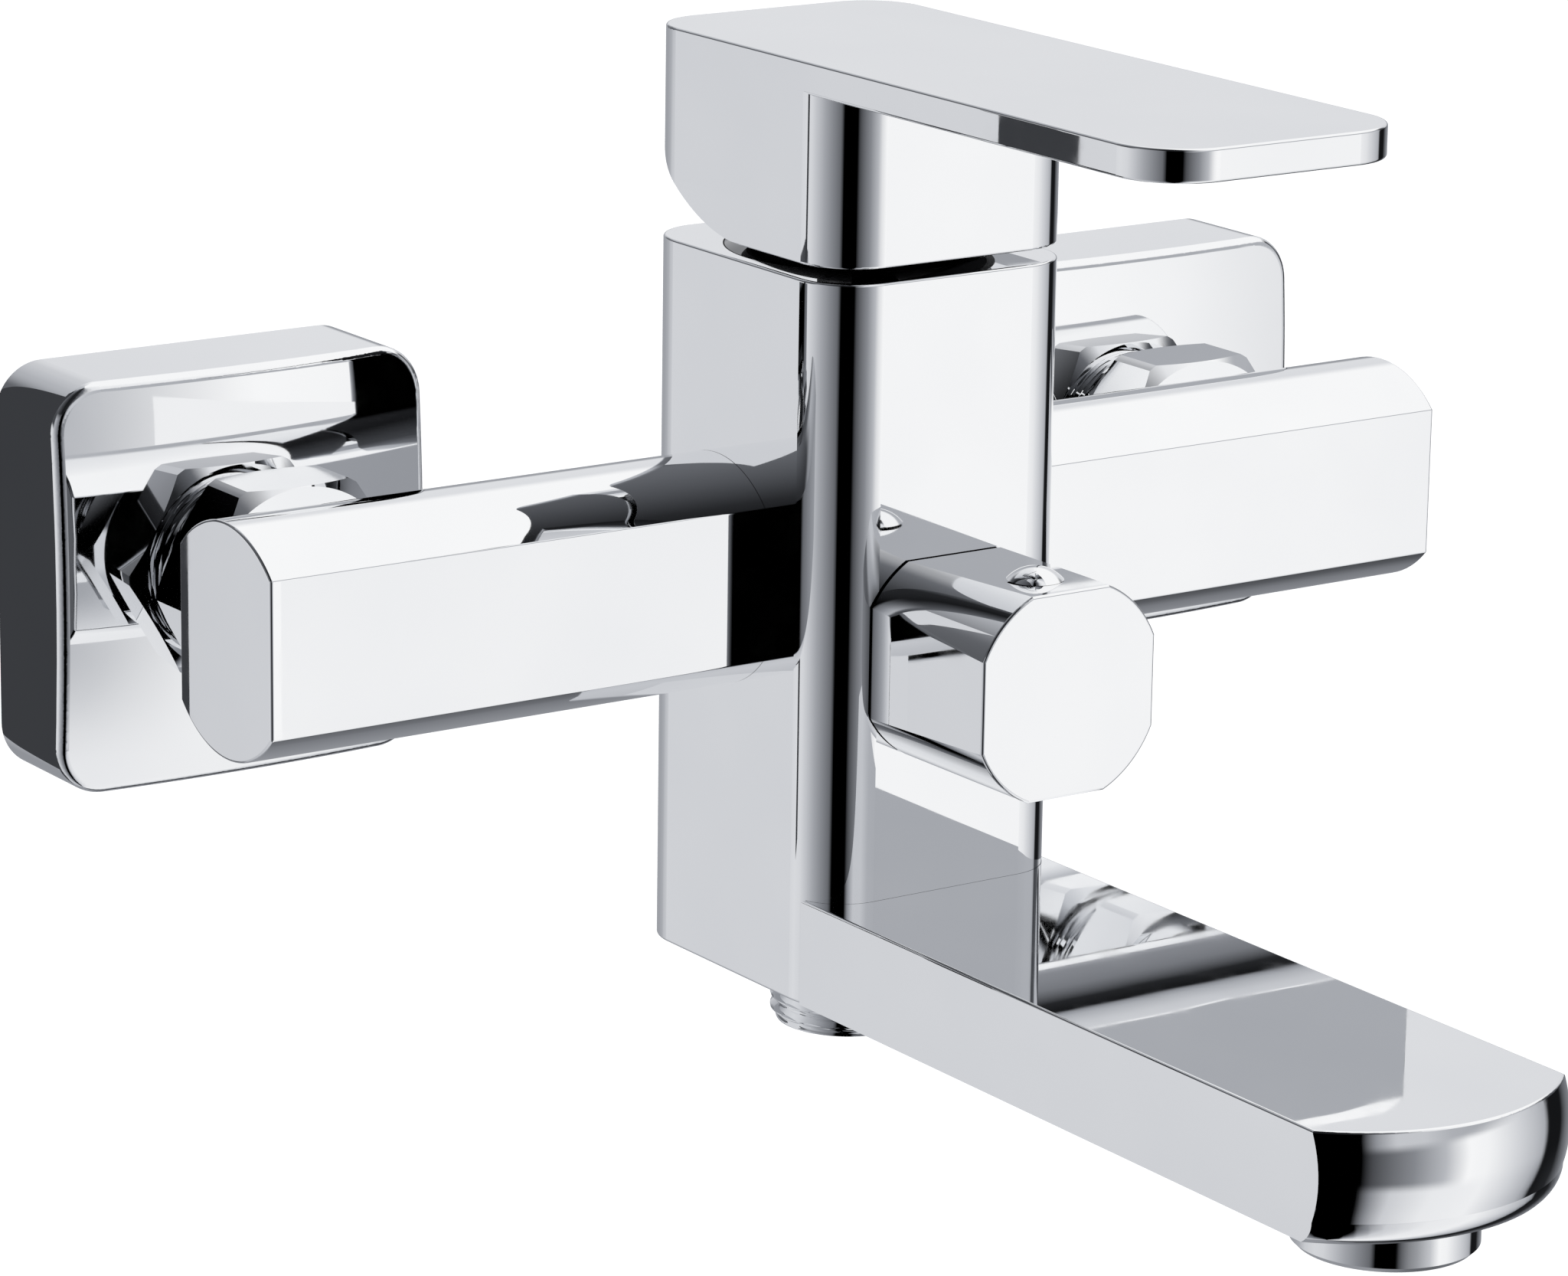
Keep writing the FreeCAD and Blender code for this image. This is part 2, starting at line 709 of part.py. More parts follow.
def make_lever():
    """The lever: a flat plate that grows out of a hollow block over the cartridge."""
    half = "lever_width / 2"
    back = "column_depth / 2"
    plate_foot = "lever_top - lever_plate"
    front = -value_of("lever_reach")
    upright = runs_along(Z_AXIS)
    plate = prism("lever_plate_blank", "XY_Plane", rectangle(half, "-lever_reach", back),
                  plate_foot, "lever_top")
    round_edges(plate, "lever_back_corners", "column_corner",
                lambda edge: upright(edge) and edge.BoundBox.YMin > front + 1)
    round_edges(plate, "lever_front_corners", "lever_corner",
                lambda edge: upright(edge) and edge.BoundBox.YMax < front + 1)
    for name, level in (("lever_top_round", "lever_top"), ("lever_under_round", plate_foot)):
        round_edges(plate, name, "edge_round", at_level("Z", value_of(level)))
    stock = prism("lever_block_blank", "XY_Plane", rectangle(half, f"-{back}", back),
                  "lever_foot", f"{plate_foot} + lever_overlap")
    round_edges(stock, "lever_block_corners", "column_corner", upright)
    round_edges(stock, "lever_foot_round", "edge_round", at_level("Z", value_of("lever_foot")))
    screw_at = on_axis("lever_screw_level")
    tools = [
        make_lever_relief(),
        rod("lever_pocket", "pocket_radius", "pocket_top - lever_foot + overcut",
            on_axis("lever_foot - overcut")),
        block("stem_socket", on_axis("pocket_top - overcut", "-stem_fit / 2", "-stem_fit / 2"),
              ("stem_fit", "stem_fit", "stem_top - pocket_top + overcut + stem_headroom")),
        rod("lever_screw_way", "screw_radius", f"{back} + overcut", screw_at, Y_AXIS),
        rod("lever_plug_seat", "plug_radius", "plug_depth + overcut",
            on_axis("lever_screw_level", f"{back} - plug_depth"), Y_AXIS),
    ]
    keep(cut("lever_handle", fuse("lever_solid", plate, stock), *tools), "lever_handle")
    screw_start = "stem_side / 2 + seat_gap"
    screw = rod("lever_screw_blank", "screw_radius - screw_gap", "lever_screw_length",
                on_axis("lever_screw_level", screw_start), Y_AXIS)
    key = rod("lever_screw_key", "key_radius", "key_depth + overcut",
              on_axis("lever_screw_level", f"{screw_start} + lever_screw_length - key_depth"), Y_AXIS)
    keep(cut("lever_grub_screw", screw, key), "lever_grub_screw")
    plug = rod("lever_plug_rod", "plug_radius - plug_gap", "plug_depth - seat_gap - bore_gap",
               on_axis("lever_screw_level", f"{back} - plug_depth + seat_gap"), Y_AXIS)
    keep(plug, "lever_screw_plug")


def make_lever_relief():
    """What is cut from the block's underside, on an arc that rises towards the wall."""
    half_turn, turn = "35 deg", "70 deg"
    return prism("lever_relief", "YZ_Plane", [
        ("relief_depth", "lever_foot - overcut"),
        ("relief_depth", "lever_foot"),
        (f"relief_depth + relief_radius * sin({half_turn})",
         f"lever_foot + relief_radius * (1 - cos({half_turn}))", "arc"),
        (f"relief_depth + relief_radius * sin({turn})", f"lever_foot + relief_radius * (1 - cos({turn}))"),
        (f"relief_depth + relief_radius * sin({turn})", "lever_foot - overcut"),
    ], "-column_width", "column_width")


# The cartridge


def make_cartridge():
    """The ceramic cartridge in the column, from its port seals up to the chrome cover."""
    make_cartridge_floor()
    make_discs()
    keep(turned("cartridge_housing", [
        ("cartridge_bore", "cartridge_floor + bore_gap"),
        ("cartridge_radius", "cartridge_floor + bore_gap"),
        ("cartridge_radius", "cartridge_shoulder"),
        ("cartridge_neck", "cartridge_shoulder"),
        ("cartridge_neck", "column_top"),
        ("carrier_fit", "column_top"),
        ("carrier_fit", "cartridge_ceiling"),
        ("cartridge_bore", "cartridge_ceiling"),
    ]), "cartridge_housing")
    make_carrier()
    make_stem()
    make_cartridge_nut()
    skirt_foot = "cartridge_shoulder + nut_height + 3 * seat_gap"
    keep(turned("cartridge_cover", [
        ("cover_skirt", skirt_foot),
        ("cover_radius", skirt_foot),
        ("cover_radius", "column_top"),
        ("cover_swell", "column_top + cover_swell_rise", "arc"),
        ("cover_opening", "cover_top"),
        ("cover_opening", "cover_top - cover_wall"),
        ("cover_skirt", "column_top - cover_wall + edge_round"),
    ]), "cartridge_cover")


def port_places():
    """Each port's name, side, depth and radius, in the cartridge's floor."""
    inlet_depth = "standoff - arm_setback"
    return [
        ("left", "-port_offset", inlet_depth, "port_radius"),
        ("right", "port_offset", inlet_depth, "port_radius"),
        ("outlet", "0", "outlet_port_depth", "outlet_port_radius"),
    ]


def make_cartridge_floor():
    """Three port seals, the base that holds them, and the fixed disc, all with the same ports."""
    base_foot = "cartridge_floor + seal_height + seat_gap"
    disc_foot = f"{base_foot} + base_height + seat_gap"
    for name, side, depth, radius in port_places():
        seal = ring(f"port_seal_{name}", radius, f"{radius} + seal_width", "cartridge_floor",
                    "cartridge_floor + seal_height", on_axis(0, depth, side))
        keep(seal, f"port_seal_{name}")
    for label, radius, foot, height in (("cartridge_base", "base_radius", base_foot, "base_height"),
                                        ("fixed_disc", "fixed_disc_radius", disc_foot, "fixed_disc_height")):
        blank = rod(f"{label}_blank", radius, height, on_axis(foot))
        ways = [rod(f"{label}_way_{name}", bore, f"{height} + 2 * overcut",
                    on_axis(f"{foot} - overcut", depth, side))
                for name, side, depth, bore in port_places()]
        keep(cut(label, blank, *ways), label)


def make_discs():
    """The disc that slides on the fixed one, and the coupler that the stem's ball pushes."""
    disc_foot = "cartridge_floor + seal_height + base_height + fixed_disc_height + 3 * seat_gap"
    moving = rod("moving_disc_blank", "disc_radius", "moving_disc_height", on_axis(disc_foot))
    chamber = rod("mixing_chamber", "mixing_chamber_radius", "mixing_chamber_height + overcut",
                  on_axis(f"{disc_foot} - overcut", "mixing_chamber_depth"))
    keep(cut("moving_disc", moving, chamber), "moving_disc")
    coupler = rod("coupler_blank", "disc_radius", "coupler_height",
                  on_axis(f"{disc_foot} + moving_disc_height + seat_gap"))
    ball_foot = "pivot_level - stem_arm - stem_ball - stem_headroom"
    seat = rod("ball_seat", "stem_ball + ball_seat_gap", "2 * stem_ball", on_axis(ball_foot))
    keep(cut("disc_coupler", coupler, seat), "disc_coupler")


def make_carrier():
    """The turning carrier with its slot for the stem, and the pin that the stem tilts on."""
    carrier = turned("carrier_blank", [
        (0, "carrier_foot"),
        ("carrier_flange", "carrier_foot"),
        ("carrier_flange", "carrier_step"),
        ("carrier_radius", "carrier_step"),
        ("carrier_radius", "column_top + carrier_rise"),
        (0, "column_top + carrier_rise"),
    ])
    slot = block("carrier_slot",
                 on_axis("carrier_foot - overcut", "-carrier_slot_length / 2", "-carrier_slot_side / 2"),
                 ("carrier_slot_side", "carrier_slot_length", "column_top - carrier_foot + 3 * overcut"))
    hole = rod("carrier_hole", "pin_radius", "2 * carrier_flange",
               on_axis("pivot_level", 0, "-carrier_flange"), X_AXIS)
    keep(cut("cartridge_carrier", carrier, slot, hole), "cartridge_carrier")
    pin_half = "carrier_radius - pin_setback"
    pin = rod("pin_rod", "pin_radius - pin_gap", f"2 * ({pin_half})",
              on_axis("pivot_level", 0, f"-({pin_half})"), X_AXIS)
    keep(pin, "cartridge_pin")


def make_stem():
    """The stem: square above the pin for the lever, a ball below it for the disc."""
    shank_foot = "pivot_level - stem_root"
    shank = block("stem_shank", on_axis(shank_foot, "-stem_side / 2", "-stem_side / 2"),
                  ("stem_side", "stem_side", f"stem_top - ({shank_foot})"))
    ball_level = "pivot_level - stem_arm"
    neck = rod("stem_neck_rod", "stem_neck", "stem_arm - stem_neck_gap", on_axis(ball_level))
    tip = ball("stem_tip", "stem_ball", on_axis(ball_level))
    hole = rod("stem_hole", "pin_radius + running_gap", "2 * stem_side",
               on_axis("pivot_level", 0, "-stem_side"), X_AXIS)
    keep(cut("cartridge_stem", fuse("stem_solid", shank, neck, tip), hole), "cartridge_stem")


def make_cartridge_nut():
    """The threaded ring that holds the cartridge down, with a cross slot for its spanner."""
    foot = "cartridge_shoulder + seat_gap"
    nut = ring("retaining_nut_blank", "cartridge_neck + bore_gap", "well_thread - seat_gap",
               foot, f"{foot} + nut_height")
    slot_foot = f"{foot} + nut_height - nut_slot_depth"
    reach, half = "well_thread + overcut", "nut_slot_width / 2"
    height = "nut_slot_depth + overcut"
    across = block("nut_slot_across", on_axis(slot_foot, f"-{half}", f"-({reach})"),
                   (f"2 * ({reach})", "nut_slot_width", height))
    along = block("nut_slot_along", on_axis(slot_foot, f"-({reach})", f"-{half}"),
                  ("nut_slot_width", f"2 * ({reach})", height))
    keep(cut("cartridge_nut", nut, across, along), "cartridge_nut")


# The diverter


def make_knob():
    """The diverter knob: a short bar with four flats, hollow behind, on the spindle's end."""
    back = "-column_depth / 2 - knob_gap"
    bar = rod("knob_bar", "knob_radius", f"knob_front + ({back})",
              on_axis("knob_level", "-knob_front"), Y_AXIS)
    flats = doc.addObject("Part::Wedge", "knob_flats")
    for letters, text in ((("Xmin", "Xmax"), "knob_flat_front"), (("Zmin", "Zmax"), "knob_flat_front"),
                          (("X2min", "X2max"), "knob_flat_back"), (("Z2min", "Z2max"), "knob_flat_back")):
        bind(flats, letters[0], f"-{text}")
        bind(flats, letters[1], text)
    bind(flats, "Ymin", "-knob_front")
    bind(flats, "Ymax", back)
    place(flats, on_axis("knob_level"))
    blank = eased("knob_rim", common("knob_blank", bar, flats), "edge_round",
                  at_level("Y", -value_of("standoff + knob_front")))
    tools = [
        rod("knob_recess", "knob_recess", "knob_recess_depth + overcut",
            on_axis("knob_level", f"{back} - knob_recess_depth"), Y_AXIS),
        rod("knob_socket", "spindle_radius + screw_gap", "knob_socket_length",
            on_axis("knob_level", "knob_face - knob_front"), Y_AXIS),
        rod("knob_screw_way", "screw_radius + screw_gap", "knob_radius",
            on_axis("knob_level + spindle_radius - spindle_setback", "-pip_reach")),
        rod("pip_seat", "pip_foot_radius + screw_gap", "knob_radius",
            on_axis("knob_level + knob_flat_back - pip_seat_depth", "-pip_reach")),
    ]
    keep(cut("diverter_knob", blank, *tools), "diverter_knob")
    screw_foot = "knob_level + spindle_radius + seat_gap"
    grub = rod("knob_screw_blank", "screw_radius", "knob_screw_length", on_axis(screw_foot, "-pip_reach"))
    key = rod("knob_screw_key", "key_radius", "key_depth + overcut",
              on_axis(f"{screw_foot} + knob_screw_length - key_depth", "-pip_reach"))
    keep(cut("knob_grub_screw", grub, key), "knob_grub_screw")


def make_pip():
    """The domed pip that covers the knob's screw: a shallow cap of a sphere on a short foot."""
    taper = "(knob_flat_front - knob_flat_back) / (knob_front - column_depth / 2)"
    seat = f"knob_flat_front - {taper} * (knob_front - pip_reach) + pip_lift"
    curve = "(pip_radius ^ 2 + pip_height ^ 2) / (2 * pip_height)"
    foot_level = "knob_flat_back - pip_seat_depth + bore_gap"
    foot = rod("pip_foot", "pip_foot_radius", f"{seat} - ({foot_level}) + edge_round",
               on_axis(f"knob_level + {foot_level}", "-pip_reach"))
    cap = common(
        "pip_cap",
        ball("pip_ball", curve, on_axis(f"knob_level + {seat} + pip_height - {curve}", "-pip_reach")),
        rod("pip_disc", "pip_radius + overcut", "pip_height + overcut",
            on_axis(f"knob_level + {seat}", "-pip_reach")),
    )
    keep(fuse("knob_pip", foot, cap), "knob_pip")


def make_headwork():
    """The ceramic headwork that the knob turns."""
    at = on_axis("knob_level")
    face = "-column_depth / 2"
    nose = f"{face} - knob_gap - headwork_nose"
    keep(turned("diverter_headwork", [
        ("spindle_fit", nose),
        ("headwork_neck", nose),
        ("headwork_neck", f"{face} + bore_gap"),
        ("headwork_radius", f"{face} + bore_gap"),
        ("headwork_radius", "headwork_end"),
        ("headwork_cavity", "headwork_end"),
        ("headwork_cavity", "cavity_end"),
        ("spindle_fit", "cavity_end"),
    ], at, Y_AXIS), "diverter_headwork")
    keep(turned("diverter_spindle", [
        (0, "knob_face - knob_front + spindle_setback"),
        ("spindle_radius", "knob_face - knob_front + spindle_setback"),
        ("spindle_radius", "collar_start"),
        ("spindle_collar", "collar_start"),
        ("spindle_collar", "collar_end"),
        (0, "collar_end"),
    ], at, Y_AXIS), "diverter_spindle")
    for label, start, stop in (("diverter_rotor_disc", "rotor_disc_start", "rotor_disc_end"),
                               ("diverter_fixed_disc", "fixed_disc_start", "fixed_disc_end")):
        blank = rod(f"{label}_blank", "headwork_cavity - bore_gap", f"{stop} - {start}",
                    on_axis("knob_level", start), Y_AXIS)
        hole = rod(f"{label}_hole", "disc_hole_radius", f"{stop} - {start} + 2 * overcut",
                   on_axis("knob_level + disc_hole_rise", f"{start} - overcut"), Y_AXIS)
        keep(cut(label, blank, hole), label)
    seal_outer = "headwork_cavity - bore_gap"
    keep(ring("diverter_seal", f"{seal_outer} - diverter_seal_width", seal_outer,
              "fixed_disc_end + seat_gap", "diverter_seal_end", at, Y_AXIS), "diverter_seal")


def export_all():
    """Check every object, then write one file for each sub-part."""
    doc.recompute()
    bad = [item.Name for item in doc.Objects if "Invalid" in item.State or "Error" in item.State]
    for item in parts:
        if item.Shape.isNull() or not item.Shape.isValid() or not item.Shape.Solids:
            bad.append(item.Label)
    if bad:
        raise RuntimeError("failed objects: " + ", ".join(bad))
    os.makedirs("parts", exist_ok=True)
    for item in parts:
        item.Shape.exportStep(f"parts/{item.Label}.step")
        print(f"{item.Label}: {item.Shape.Volume / 1000:.2f} cm3, {len(item.Shape.Solids)} solid")


make_body()
make_spout()
for side, sign in (("left", -1), ("right", 1)):
    make_arm(side, sign)
    make_inlet(side, sign)
make_shower_outlet()
make_aerator()
make_lever()
make_cartridge()
make_knob()
make_pip()
make_headwork()
export_all()
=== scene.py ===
import math

import bmesh
import bpy
from mathutils import Matrix, Vector


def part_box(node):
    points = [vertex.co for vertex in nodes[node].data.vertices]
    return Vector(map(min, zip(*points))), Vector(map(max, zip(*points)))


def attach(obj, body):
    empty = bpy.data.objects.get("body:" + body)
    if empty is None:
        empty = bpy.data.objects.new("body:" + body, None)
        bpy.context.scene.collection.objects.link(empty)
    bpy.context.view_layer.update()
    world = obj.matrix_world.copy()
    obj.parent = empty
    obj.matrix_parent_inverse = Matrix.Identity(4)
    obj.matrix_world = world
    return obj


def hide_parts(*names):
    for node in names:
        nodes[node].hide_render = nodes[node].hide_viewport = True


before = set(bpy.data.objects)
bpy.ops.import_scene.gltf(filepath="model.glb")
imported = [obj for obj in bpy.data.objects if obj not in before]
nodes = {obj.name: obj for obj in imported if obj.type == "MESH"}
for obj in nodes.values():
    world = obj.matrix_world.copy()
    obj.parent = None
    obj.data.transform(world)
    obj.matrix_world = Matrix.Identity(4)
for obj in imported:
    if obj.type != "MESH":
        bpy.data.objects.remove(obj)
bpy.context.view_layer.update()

scene = bpy.context.scene
MM = 0.001

# ---------------------------------------------------------------- camera

CAMERA_AZIMUTH = -34.57
CAMERA_ELEVATION = 14.95
CAMERA_ROLL = 0.86
CAMERA_DISTANCE = 0.8448
CAMERA_LENS = 143.2
CAMERA_SENSOR = 36
CAMERA_CLIP = (0.05, 60)
CAMERA_AIM_SIDE = -0.01127
CAMERA_AIM_DROP = 0.05507


def make_camera():
    """A long lens at the photograph's angle, aimed a little left of and below the lever."""
    azimuth, elevation, roll = (
        math.radians(x) for x in (CAMERA_AZIMUTH, CAMERA_ELEVATION, CAMERA_ROLL))
    back = Vector((math.sin(azimuth) * math.cos(elevation),
                   -math.cos(azimuth) * math.cos(elevation),
                   math.sin(elevation)))
    right = (-back).cross(Vector((0, 0, 1))).normalized()
    up = right.cross(-back)
    rolled_right = math.cos(roll) * right + math.sin(roll) * up
    rolled_up = math.cos(roll) * up - math.sin(roll) * right
    low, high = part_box("body")
    lever_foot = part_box("lever_handle")[0].z
    aim = Vector((CAMERA_AIM_SIDE, (low.y + high.y) / 2, lever_foot - CAMERA_AIM_DROP))
    data = bpy.data.cameras.new("camera")
    data.sensor_fit = "HORIZONTAL"
    data.sensor_width = CAMERA_SENSOR
    data.lens = CAMERA_LENS
    data.clip_start, data.clip_end = CAMERA_CLIP
    camera = bpy.data.objects.new("camera", data)
    scene.collection.objects.link(camera)
    turn = Matrix((rolled_right, rolled_up, back)).transposed().to_4x4()
    camera.matrix_world = Matrix.Translation(aim + back * CAMERA_DISTANCE) @ turn
    scene.camera = camera


# ---------------------------------------------------------------- node helpers


class Nodes:
    """A node tree with short ways to add and join nodes."""

    def __init__(self, tree):
        self.tree = tree
        tree.nodes.clear()

    def add(self, kind, **settings):
        """A new node with these settings."""
        node = self.tree.nodes.new(kind)
        for name, value in settings.items():
            setattr(node, name, value)
        return node

    def join(self, source, target):
        """Link an output to an input."""
        self.tree.links.new(source, target)

    def feed(self, node, **inputs):
        """Set or join a node's inputs, named with _ for a space, or numbered as i0, i1."""
        for name, value in inputs.items():
            numbered = name[0] == "i" and name[1:].isdigit()
            socket = node.inputs[int(name[1:]) if numbered else name.replace("_", " ")]
            if isinstance(value, bpy.types.NodeSocket):
                self.join(value, socket)
            else:
                socket.default_value = value
        return node

    def maths(self, operation, first, second=None):
        """A maths node's result, from one value or two."""
        node = self.add("ShaderNodeMath", operation=operation)
        self.feed(node, i0=first)
        if second is not None:
            self.feed(node, i1=second)
        return node.outputs[0]

    def window(self, value, start, stop, low=0.0, high=1.0):
        """A smooth step from low to high between start and stop."""
        node = self.add("ShaderNodeMapRange", interpolation_type="SMOOTHSTEP")
        self.feed(node, Value=value, From_Min=start, From_Max=stop, To_Min=low, To_Max=high)
        return node.outputs[0]

    def split(self, vector):
        """A vector's x, y and z."""
        return self.feed(self.add("ShaderNodeSeparateXYZ"), Vector=vector).outputs

    def blend(self, factor, first, second):
        """A number between two others."""
        node = self.add("ShaderNodeMix", data_type="FLOAT")
        self.feed(node, i0=factor, i2=first, i3=second)
        return node.outputs[0]

    def blend_colour(self, factor, first, second):
        """A colour between two others."""
        node = self.add("ShaderNodeMix", data_type="RGBA")
        self.feed(node, i0=factor, i6=first, i7=second)
        return node.outputs[2]

    def blend_shader(self, factor, first, second):
        """One shader where the factor is 0 and the other where it is 1."""
        node = self.add("ShaderNodeMixShader")
        return self.feed(node, Fac=factor, i1=first.outputs[0], i2=second.outputs[0])

    def product(self, *factors):
        """All the factors multiplied together."""
        total = factors[0]
        for factor in factors[1:]:
            total = self.maths("MULTIPLY", total, factor)
        return total

    def ramp(self, value, stops):
        """A colour ramp from (position, colour) stops."""
        node = self.add("ShaderNodeValToRGB")
        elements = node.color_ramp.elements
        while len(elements) < len(stops):
            elements.new(1.0)
        for element, (position, colour) in zip(elements, stops):
            element.position = position
            element.color = (*colour, 1.0)
        self.feed(node, Fac=value)
        return node.outputs["Color"]

    def show(self, shader, output="ShaderNodeOutputMaterial"):
        """Make a shader the one that the material or the world shows."""
        self.join(shader.outputs[0], self.add(output).inputs["Surface"])


# ---------------------------------------------------------------- studio

WHITE = (1, 1, 1, 1)
FLOOR_DROP = 1.8
FLOOR_SIZE = 60.0
FLOOR_COLOUR = (0.9, 0.9, 0.9, 1)
FLOOR_ROUGHNESS = 0.9
FLOOR_GLOW = 0.7

# How bright the studio is, as (degrees, level). 0 degrees is straight in front of the faucet, and
# the angle grows to the right. There is a band well below the horizon, one near it, one above it
# and one overhead. Low down, a large soft box stands right of the front and another at the left
# back. Above them the light comes from the front and the right back, and overhead from the whole
# right side. A black flag stands behind the camera in every band, and a dark strip stands at the
# right in all but the highest.
UNDER_BAND = [
    (-180, 0.30), (-150, 0.50), (-118, 0.60), (-88, 0.38), (-72, 0.25), (-57, 0.145), (-51, 0.0),
    (-26, 0.0), (-20, 0.25), (-10, 0.62), (12, 0.85), (40, 0.90), (60, 0.66), (76, 0.45),
    (82, 0.30), (86, 0.008), (103, 0.02), (125, 0.20), (150, 0.30), (180, 0.30),
]
LOW_BAND = [
    (-180, 0.36), (-163, 0.43), (-150, 0.64), (-132, 0.72), (-118, 0.68), (-104, 0.55), (-88, 0.38),
    (-72, 0.25), (-57, 0.145), (-51, 0.0), (-25, 0.0), (-20, 0.07), (0, 0.255), (16, 0.50),
    (29, 0.97), (40, 0.93), (60, 0.68), (76, 0.50), (82, 0.42), (86, 0.008), (101, 0.008),
    (110, 0.14), (125, 0.30), (150, 0.36), (170, 0.36), (180, 0.36),
]
MIDDLE_BAND = [
    (-180, 0.16), (-165, 0.14), (-148, 0.12), (-130, 0.05), (-112, 0.10), (-100, 0.45), (-88, 0.38),
    (-72, 0.25), (-57, 0.145), (-51, 0.0), (-25, 0.0), (-18, 0.30), (-8, 0.58), (6, 0.58),
    (20, 0.45), (34, 0.42), (60, 0.45), (76, 0.45), (82, 0.40), (86, 0.05), (100, 0.10),
    (112, 0.68), (150, 0.76), (170, 0.45), (180, 0.16),
]
HIGH_BAND = [
    (-180, 0.50), (-163, 0.45), (-148, 0.16), (-125, 0.11), (-100, 0.07), (-60, 0.01), (-25, 0.02),
    (-5, 0.15), (15, 0.80), (45, 0.97), (150, 0.97), (168, 0.60), (180, 0.50),
]
# The heights, in degrees, between which one band turns into the next.
UNDER_TO_LOW = (-27.0, -18.0)
LOW_TO_MIDDLE = (2.0, 9.0)
MIDDLE_TO_HIGH = (22.0, 32.0)

# How much cooler than grey the darkest light is, as a loss of red and a gain of blue.
RED_LOSS = 0.05
BLUE_GAIN = 0.12

# How bright each card is, and how far it stands off the metal or reaches past it.
ARM_CARD_LEVEL = 0.90
ARM_CARD_GAP = 1 * MM
ARM_CARD_REACH = 8 * MM
COLUMN_CARD_LEVEL = 0.66
COLUMN_CARD_GAP = 3 * MM
COLUMN_CARD_REACH = 4 * MM
COLUMN_CARD_DROP = 14 * MM
ROSETTE_CARD_LEVEL = 0.045
ROSETTE_CARD_GAP = 1 * MM
ROSETTE_CARD_DEPTH = 4 * MM
ROSETTE_CARD_WIDTH = 15 * MM
ROSETTE_CARD_MARGIN = 42 * MM


def studio_colour(level):
    """A grey that is a little cooler the darker it is."""
    shade = 1.0 - level
    return (level * (1.0 - RED_LOSS * shade), level, level * (1.0 + BLUE_GAIN * shade))


def make_world():
    """Soft studio light from all round for the metal, and plain white for the camera."""
    world = bpy.data.worlds.new("studio")
    world.use_nodes = True
    scene.world = world
    t = Nodes(world.node_tree)
    x, y, z = t.split(t.add("ShaderNodeTexCoord").outputs["Generated"])
    azimuth = t.maths("ARCTAN2", x, t.maths("MULTIPLY", y, -1.0))
    turn = t.maths("ADD", t.maths("DIVIDE", azimuth, 2 * math.pi), 0.5)
    elevation = t.maths("MULTIPLY", t.maths("ARCSINE", z), 180 / math.pi)
    bands = []
    for band in (UNDER_BAND, LOW_BAND, MIDDLE_BAND, HIGH_BAND):
        stops = [(angle / 360 + 0.5, studio_colour(level)) for angle, level in band]
        bands.append(t.ramp(turn, stops))
    studio = bands[0]
    for edge, band in zip((UNDER_TO_LOW, LOW_TO_MIDDLE, MIDDLE_TO_HIGH), bands[1:]):
        studio = t.blend_colour(t.window(elevation, *edge), studio, band)
    seen = t.add("ShaderNodeLightPath").outputs["Is Camera Ray"]
    reflected = t.feed(t.add("ShaderNodeBackground"), Color=studio, Strength=1.0)
    backdrop = t.feed(t.add("ShaderNodeBackground"), Color=WHITE, Strength=1.0)
    t.show(t.blend_shader(seen, reflected, backdrop), "ShaderNodeOutputWorld")


def add_quad(name, corners, material_name):
    """An object of one flat face with an empty material. Gives the object and the nodes."""
    mesh = bpy.data.meshes.new(name)
    mesh.from_pydata(corners, [], [(0, 1, 2, 3)])
    quad = bpy.data.objects.new(name, mesh)
    scene.collection.objects.link(quad)
    material = bpy.data.materials.new(material_name)
    material.use_nodes = True
    mesh.materials.append(material)
    return quad, Nodes(material.node_tree)


def make_floor():
    """A plain pale floor, low enough for a camera that looks up at the faucet to stay above it."""
    half = FLOOR_SIZE / 2
    corners = [(x, y, -FLOOR_DROP)
               for x, y in ((-half, -half), (half, -half), (half, half), (-half, half))]
    floor, t = add_quad("floor", corners, "pale_floor")
    t.show(t.feed(t.add("ShaderNodeBsdfPrincipled"), Base_Color=FLOOR_COLOUR,
                  Roughness=FLOOR_ROUGHNESS, Emission_Color=WHITE, Emission_Strength=FLOOR_GLOW))
    floor.visible_glossy = False


def make_card(name, corners, level):
    """A small studio card, which shows only in the metal, and only from its front."""
    card, t = add_quad(name, corners, f"{name}_light")
    front = t.feed(t.add("ShaderNodeEmission"), Color=(*studio_colour(level), 1.0))
    back = t.add("ShaderNodeBsdfTransparent")
    behind = t.add("ShaderNodeNewGeometry").outputs["Backfacing"]
    t.show(t.blend_shader(behind, front, back))
    for ray in ("camera", "diffuse", "shadow"):
        setattr(card, f"visible_{ray}", False)


